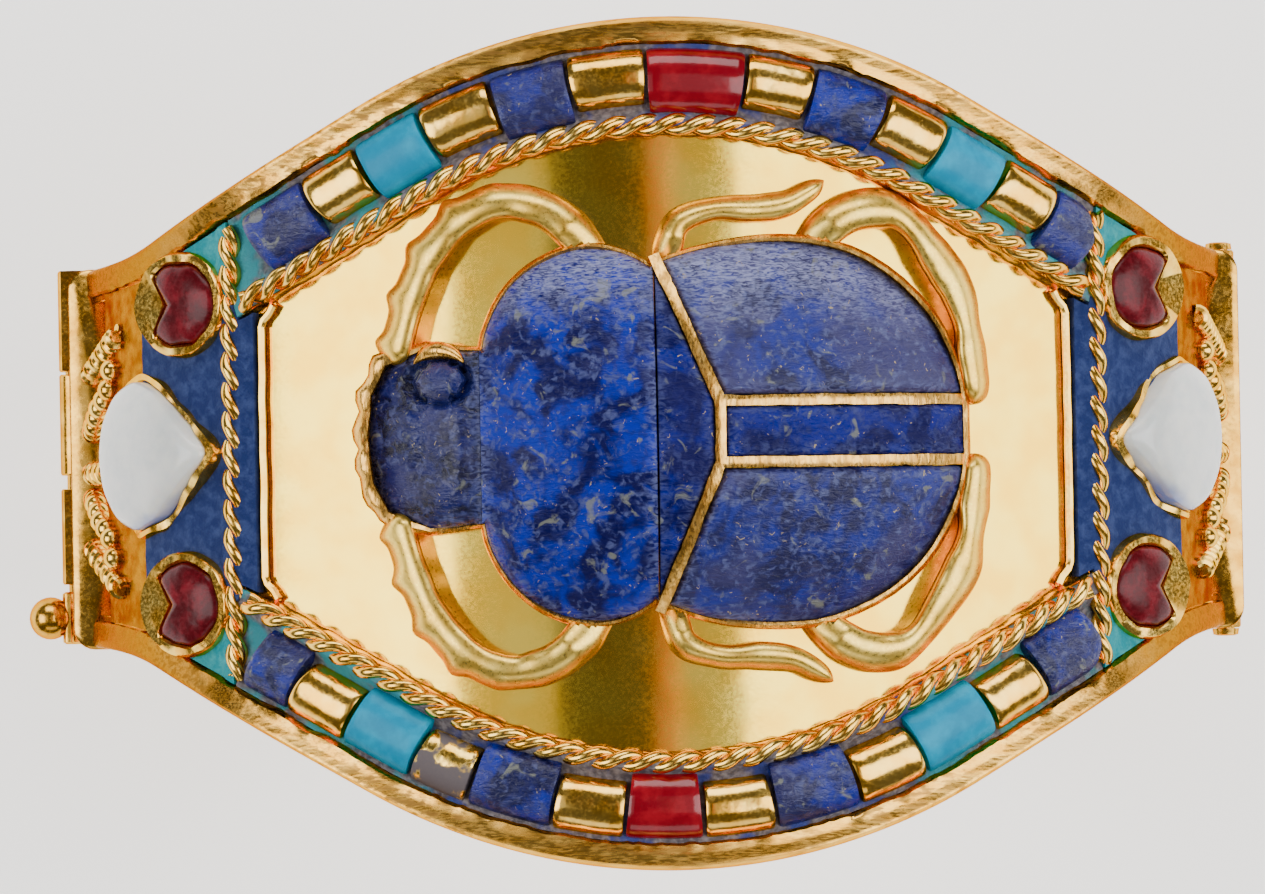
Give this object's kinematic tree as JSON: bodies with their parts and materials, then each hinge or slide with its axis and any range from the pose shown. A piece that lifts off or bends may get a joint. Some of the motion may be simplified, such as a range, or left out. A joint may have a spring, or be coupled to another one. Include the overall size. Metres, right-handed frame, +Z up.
{
  "type": "scarab bracelet",
  "caption": "Hinged oval bracelet with a curved inlaid scarab plaque, a plain back band and a sliding pin clasp.",
  "frame": {"origin": "middle of the bounding box on the ground plane, under the foot of the back band", "axes": "+Z up from the foot to the plaque, +X from the clasp towards the hinge along the scarab's length, +Y along the wrist opening"},
  "size_m": [0.0674, 0.0446, 0.0531],
  "materials": {
    "gold": "worn gold plate, satin with polished high spots",
    "lapis": "polished dark blue stone",
    "turquoise": "polished turquoise blue stone",
    "carnelian": "polished deep red stone",
    "pale_stone": "polished milky white stone",
    "cement": "dull grey cement",
    "turquoise_enamel": "matt turquoise inlay",
    "blue_enamel": "matt blue inlay"
  },
  "bodies": {
    "band": {"back_band": "gold", "hinge_pin": "gold"},
    "plaque": {"gold_mount": "gold", "scarab_setting": "gold", "scarab_head": "lapis", "scarab_thorax": "lapis", "scarab_wing_case_top": "lapis", "scarab_wing_case_bottom": "lapis", "scarab_shoulder_plate": "lapis", "scarab_back_strip": "lapis", "rope_top": "gold", "rope_bottom": "gold", "rope_left": "gold", "rope_right": "gold", "channel_fill_top": "cement", "channel_fill_bottom": "cement", "enamel_panel_left": "blue_enamel", "enamel_panel_right": "blue_enamel", "enamel_corner_left_top": "turquoise_enamel", "poppy_bud_left_top": "carnelian", "enamel_corner_left_bottom": "turquoise_enamel", "poppy_bud_left_bottom": "carnelian", "mandrake_left": "pale_stone", "enamel_corner_right_top": "turquoise_enamel", "poppy_bud_right_top": "carnelian", "enamel_corner_right_bottom": "turquoise_enamel", "poppy_bud_right_bottom": "carnelian", "mandrake_right": "pale_stone", "top_tile_01": "lapis", "top_tile_02": "gold", "top_tile_03": "turquoise", "top_tile_04": "gold", "top_tile_05": "lapis", "top_tile_06": "gold", "top_tile_07": "carnelian", "top_tile_08": "gold", "top_tile_09": "lapis", "top_tile_10": "gold", "top_tile_11": "turquoise", "top_tile_12": "gold", "top_tile_13": "lapis", "bottom_tile_01": "lapis", "bottom_tile_02": "gold", "bottom_tile_03": "turquoise", "bottom_tile_04": "gold", "bottom_tile_05": "lapis", "bottom_tile_06": "gold", "bottom_tile_07": "carnelian", "bottom_tile_08": "gold", "bottom_tile_09": "lapis", "bottom_tile_10": "gold", "bottom_tile_11": "turquoise", "bottom_tile_12": "gold", "bottom_tile_13": "lapis"},
    "clasp": {"clasp_pin": "gold"}
  },
  "joints": [
    {"name": "hinge", "type": "hinge", "parent": "band", "child": "plaque", "pos_m": [0.03283, 0, 0.02401], "axis": [0, 1, 0], "range_deg": [0, 75]},
    {"name": "clasp_slide", "type": "slide", "parent": "plaque", "child": "clasp", "axis": [0, -1, 0], "range_m": [0, 0.01119]}
  ]
}
